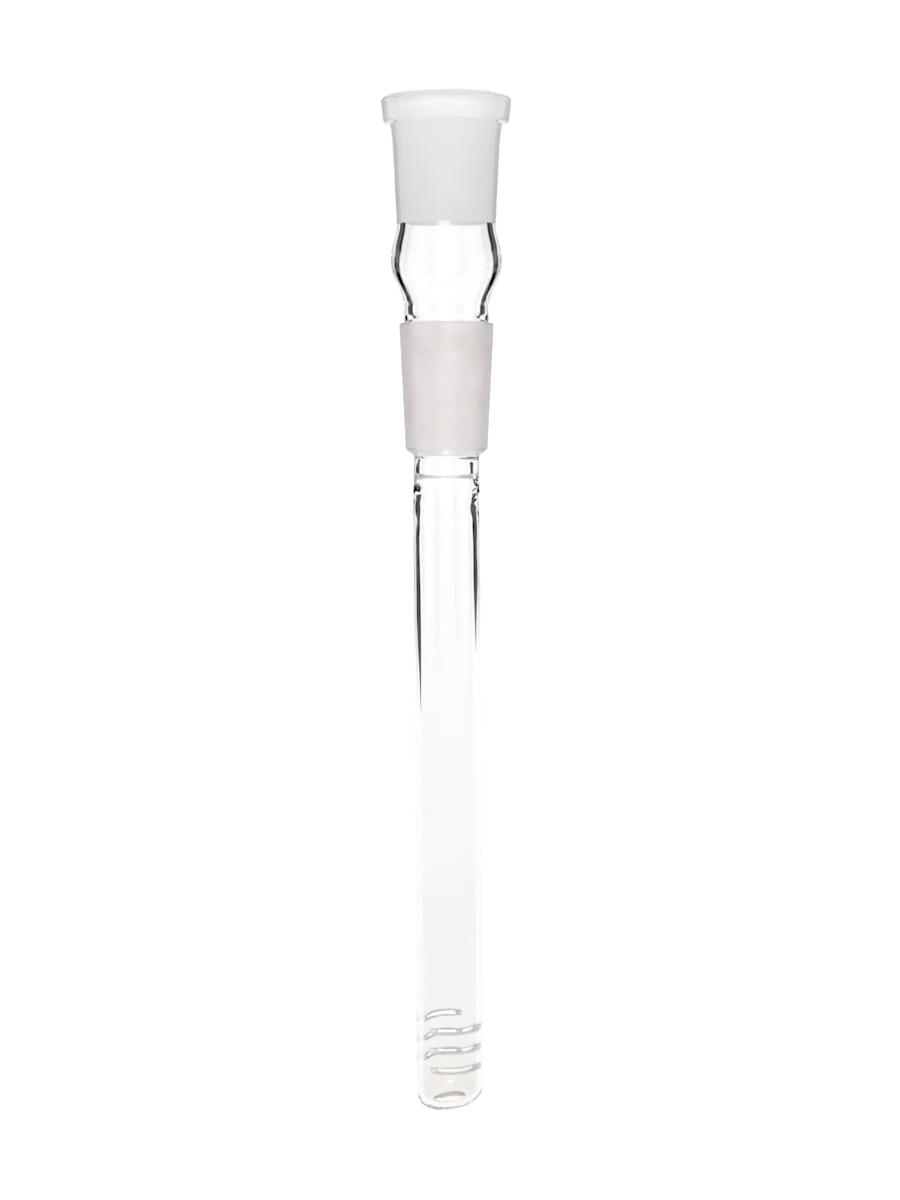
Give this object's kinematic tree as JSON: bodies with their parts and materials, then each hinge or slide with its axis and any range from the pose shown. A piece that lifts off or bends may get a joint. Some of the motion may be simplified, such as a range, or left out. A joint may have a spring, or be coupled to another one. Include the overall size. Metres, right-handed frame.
{
  "type": "ground joint diffuser stem",
  "caption": "Borosilicate glass inlet stem: ground socket with rolled rim above a blown bulb, ground cone below, and a long tube with saw-cut slits near its open tip.",
  "frame": {"origin": "centre of the cone's large end, the plane in which the part seats in another joint", "axes": "+Z along the common axis towards the socket's mouth; -Y is the front; the front slits face 17 degrees from -Y towards +X"},
  "size_m": [0.0262, 0.0262, 0.2014],
  "materials": {
    "clear_glass": "clear, flame polished",
    "socket_glass": "clear and smooth outside, fine ground inside",
    "cone_glass": "fine ground outside, smooth inside"
  },
  "bodies": {
    "root": {"socket_rim": "socket_glass", "socket_body": "socket_glass", "bulb": "clear_glass", "cone_joint": "cone_glass", "cone_shank": "clear_glass", "weld_bead": "clear_glass", "stem_tube": "clear_glass", "stem_tip": "clear_glass"}
  },
  "joints": []
}
